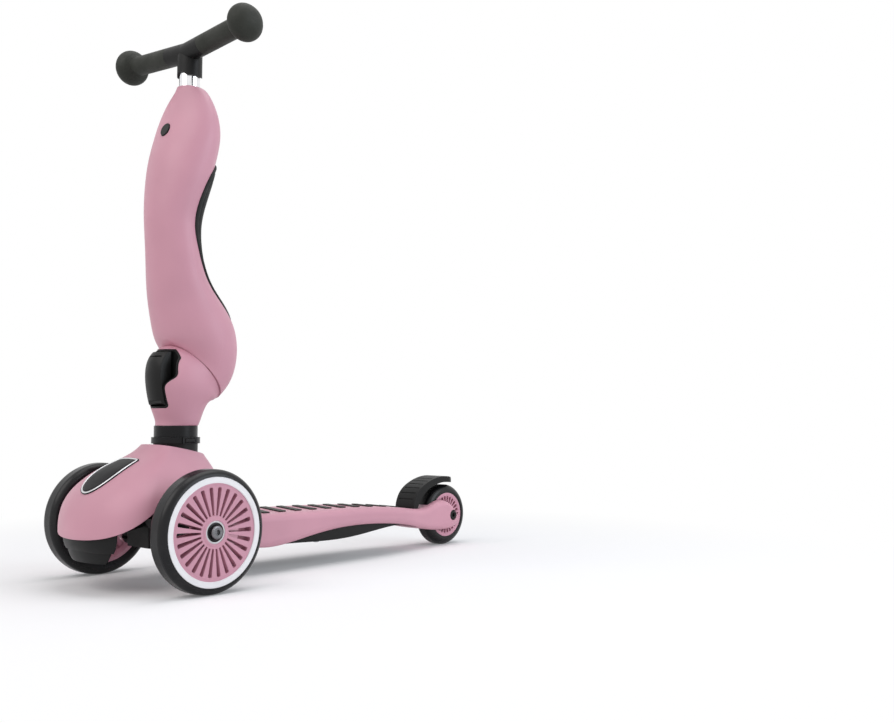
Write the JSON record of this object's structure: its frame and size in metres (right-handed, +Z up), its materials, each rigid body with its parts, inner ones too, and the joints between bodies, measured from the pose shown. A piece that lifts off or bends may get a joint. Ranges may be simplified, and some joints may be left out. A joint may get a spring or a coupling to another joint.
{
  "type": "kick scooter",
  "caption": "Lean-steering kick scooter whose column turns over on a slanted joint to become a padded ride-on seat, with a plug-in handlebar, foot deck and sprung fender brake.",
  "frame": {"origin": "on the floor under the middle of the overall box", "axes": "+X forward, +Y to the rider's left, +Z up"},
  "size_m": [0.5773, 0.2374, 0.5883],
  "materials": {
    "pink_plastic": "satin pink moulding",
    "black_plastic": "fine-grained black moulding",
    "tyre_black": "smooth cast black tread",
    "white_ring": "satin white",
    "grip_rubber": "matte black rubber",
    "pad_rubber": "soft matte black foam rubber",
    "steel": "zinc plated",
    "polished_post": "polished",
    "column_alloy": "plain tube"
  },
  "bodies": {
    "base": {"deck_shell": "pink_plastic", "underframe": "black_plastic", "deck_grip": "grip_rubber", "nose_shell": "pink_plastic", "front_frame": "black_plastic", "collar_band": "black_plastic", "column_ferrule": "black_plastic", "column_tube": "column_alloy", "kingpin_left": "steel", "kingpin_right": "steel", "fender_pin": "steel", "neck_shell": "pink_plastic", "lever_recess": "black_plastic", "lever_pin": "steel", "turn_hub": "black_plastic", "turn_washer": "black_plastic", "rear_axle_bolt": "steel", "rear_axle_nut": "steel", "rear_washers": "steel", "rear_spacer": "steel"},
    "steer_knuckle_left": {"knuckle_left": "black_plastic", "axle_bolt_left": "steel", "front_spacer_left": "steel"},
    "steer_knuckle_right": {"knuckle_right": "black_plastic", "axle_bolt_right": "steel", "front_spacer_right": "steel"},
    "front_wheel_left": {"front_tyre_left": "tyre_black", "front_core_left": "pink_plastic", "rim_ring_left": "white_ring", "front_bearings_left": "steel"},
    "front_wheel_right": {"front_tyre_right": "tyre_black", "front_core_right": "pink_plastic", "rim_ring_right": "white_ring", "front_bearings_right": "steel"},
    "steer_rod": {"tie_rod": "black_plastic"},
    "rear_wheel": {"rear_tyre": "tyre_black", "rear_core": "pink_plastic", "rear_bearings": "steel"},
    "brake": {"rear_fender": "black_plastic"},
    "seat": {"seat_shell": "pink_plastic", "seat_pad": "pad_rubber", "tail_socket": "black_plastic", "hump_socket": "black_plastic"},
    "lever": {"lock_lever": "black_plastic"},
    "handle": {"handlebar": "black_plastic", "handle_post": "polished_post", "grip_left": "grip_rubber", "grip_right": "grip_rubber"},
    "button": {"release_button": "black_plastic"},
    "snap_left": {"snap_button_left": "black_plastic"},
    "snap_right": {"snap_button_right": "black_plastic"}
  },
  "joints": [
    {"name": "steer_left", "type": "hinge", "parent": "base", "child": "steer_knuckle_left", "pos_m": [0.202, 0.046, 0.06], "axis": [0.5736, 0, 0.8192], "range_deg": [-12, 12], "stiffness_Nm_per_rad": 15},
    {"name": "steer_right", "type": "hinge", "parent": "base", "child": "steer_knuckle_right", "pos_m": [0.202, -0.046, 0.06], "axis": [0.5736, 0, 0.8192], "range_deg": [-12, 12]},
    {"name": "tie_rod_slide", "type": "slide", "parent": "base", "child": "steer_rod", "axis": [0, 1, 0], "range_m": [-0.006, 0.006]},
    {"name": "front_left_spin", "type": "hinge", "parent": "steer_knuckle_left", "child": "front_wheel_left", "pos_m": [0.202, 0.099, 0.06], "axis": [0, 1, 0], "continuous": true},
    {"name": "front_right_spin", "type": "hinge", "parent": "steer_knuckle_right", "child": "front_wheel_right", "pos_m": [0.202, -0.099, 0.06], "axis": [0, 1, 0], "continuous": true},
    {"name": "rear_spin", "type": "hinge", "parent": "base", "child": "rear_wheel", "pos_m": [-0.248, 0, 0.04], "axis": [0, 1, 0], "continuous": true},
    {"name": "rear_brake", "type": "hinge", "parent": "base", "child": "brake", "pos_m": [-0.184, 0, 0.044], "axis": [0, -1, 0], "range_deg": [0, 2.5], "stiffness_Nm_per_rad": 3, "springref_deg": -2.86},
    {"name": "seat_turn", "type": "hinge", "parent": "base", "child": "seat", "pos_m": [0.1528, 0, 0.2148], "axis": [-0.7071, 0, 0.7071], "range_deg": [0, 180]},
    {"name": "lever_pull", "type": "hinge", "parent": "base", "child": "lever", "pos_m": [0.1952, 0, 0.187], "axis": [0, 1, 0], "range_deg": [0, 35], "stiffness_Nm_per_rad": 0.3, "springref_deg": -17.19},
    {"name": "handlebar_lift", "type": "slide", "parent": "seat", "child": "handle", "axis": [0, 0, 1], "range_m": [0, 0.04]},
    {"name": "release_press", "type": "slide", "parent": "seat", "child": "button", "axis": [-0.9579, 0, -0.287], "range_m": [0, 0.0025], "stiffness_N_per_m": 400, "springref_m": -0.0005},
    {"name": "snap_left_press", "type": "slide", "parent": "base", "child": "snap_left", "axis": [0, -1, 0], "range_m": [0, 0.002], "stiffness_N_per_m": 400, "springref_m": -0.0005},
    {"name": "snap_right_press", "type": "slide", "parent": "base", "child": "snap_right", "axis": [0, 1, 0], "range_m": [0, 0.002], "stiffness_N_per_m": 400, "springref_m": -0.0005}
  ],
  "couplings": [
    {"joint": "steer_right", "follows": "steer_left", "ratio": 1},
    {"joint": "tie_rod_slide", "follows": "steer_left", "m_per_rad": -0.026}
  ]
}
